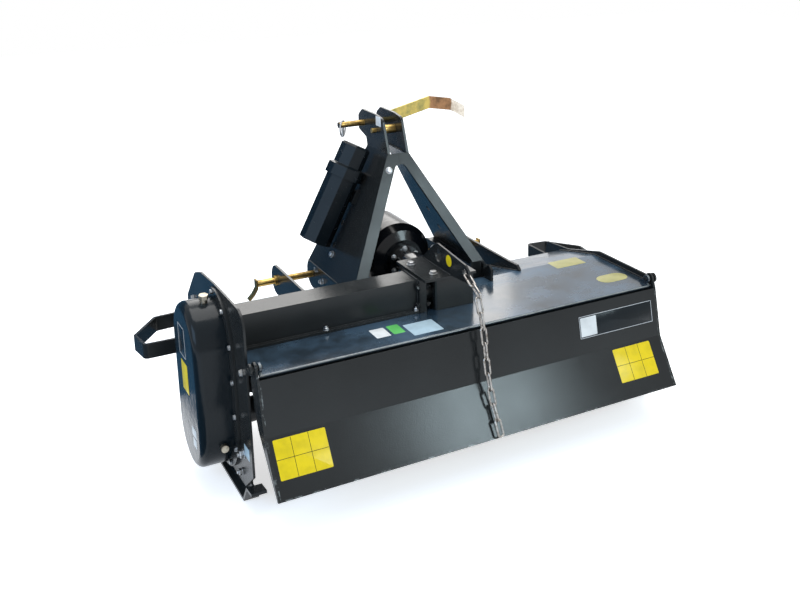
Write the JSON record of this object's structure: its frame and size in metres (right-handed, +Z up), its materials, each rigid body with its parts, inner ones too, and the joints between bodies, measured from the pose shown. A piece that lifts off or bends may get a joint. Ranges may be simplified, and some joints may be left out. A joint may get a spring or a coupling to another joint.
{
  "type": "rotary tiller",
  "caption": "Rotary tiller for a compact tractor: tined rotor under a hood with skids, chain case, PTO gearbox, three-point mast and a hinged tailboard on a chain.",
  "frame": {"origin": "plan centre of the whole machine on the floor that the skids stand on", "axes": "+X to the right as the machine travels, +Y forward to the tractor, +Z up"},
  "size_m": [1.5766, 0.9019, 0.913],
  "materials": {
    "dark_paint": "satin",
    "deck_paint": "gloss",
    "case_paint": "gloss",
    "rotor_paint": "satin",
    "tine_steel": "satin",
    "gloss_cast": "gloss",
    "bare_shaft": "satin",
    "black_plastic": "matte",
    "brass_plug": "satin",
    "yellow_zinc": "satin",
    "bright_zinc": "satin",
    "zinc_chain": "satin"
  },
  "bodies": {
    "frame": {"beam_flanges": "dark_paint", "canister_bracket": "dark_paint", "canister_cap": "black_plastic", "centre_box": "dark_paint", "chain_bracket": "dark_paint", "chain_case_cover": "case_paint", "chain_case_flange": "dark_paint", "cross_beam": "dark_paint", "gearbox": "gloss_cast", "guard_left": "dark_paint", "guard_right": "dark_paint", "hinge_bolts": "bright_zinc", "hitch_inner_ear_left": "dark_paint", "hitch_inner_ear_right": "dark_paint", "hitch_outer_ear_left": "dark_paint", "hitch_outer_ear_right": "dark_paint", "hood_deck": "deck_paint", "lower_lynch_pins": "bright_zinc", "lower_pin_left": "yellow_zinc", "lower_pin_right": "yellow_zinc", "manual_canister": "black_plastic", "mast_ear_left": "dark_paint", "mast_ear_right": "dark_paint", "mast_leg_left": "dark_paint", "mast_leg_right": "dark_paint", "oil_filler_plug": "brass_plug", "oil_level_plug": "brass_plug", "pto_shield": "black_plastic", "rotor_bearing_left": "dark_paint", "rotor_bearing_right": "dark_paint", "side_plate_left": "dark_paint", "side_plate_right": "dark_paint", "skid_left": "dark_paint", "skid_right": "dark_paint", "top_link_pin": "yellow_zinc", "top_lynch_pin": "bright_zinc", "top_spacer": "bright_zinc"},
    "tailboard": {"tailboard_panel": "dark_paint", "tailboard_end_left": "dark_paint", "tailboard_end_right": "dark_paint"},
    "rotor": {"rotor_shaft": "rotor_paint", "rotor_tines": "tine_steel"},
    "pto": {"pto_shaft": "bare_shaft"},
    "chain": {"lift_chain": "zinc_chain"}
  },
  "joints": [
    {"name": "rotor_spin", "type": "hinge", "parent": "frame", "child": "rotor", "pos_m": [0, -0.04952, 0.178], "axis": [1, 0, 0], "continuous": true},
    {"name": "pto_spin", "type": "hinge", "parent": "frame", "child": "pto", "pos_m": [0, 0.21048, 0.44], "axis": [0, 1, 0], "continuous": true},
    {"name": "tailboard_hinge", "type": "hinge", "parent": "frame", "child": "tailboard", "pos_m": [0, -0.29452, 0.41], "axis": [-1, 0, 0], "range_deg": [0, 60]},
    {"name": "chain_swing", "type": "hinge", "parent": "frame", "child": "chain", "pos_m": [0, -0.25152, 0.53], "axis": [-1, 0, 0], "range_deg": [0, 48]}
  ],
  "couplings": [
    {"joint": "pto_spin", "follows": "rotor_spin", "ratio": -2.6},
    {"joint": "chain_swing", "follows": "tailboard_hinge", "ratio": 0.8}
  ]
}
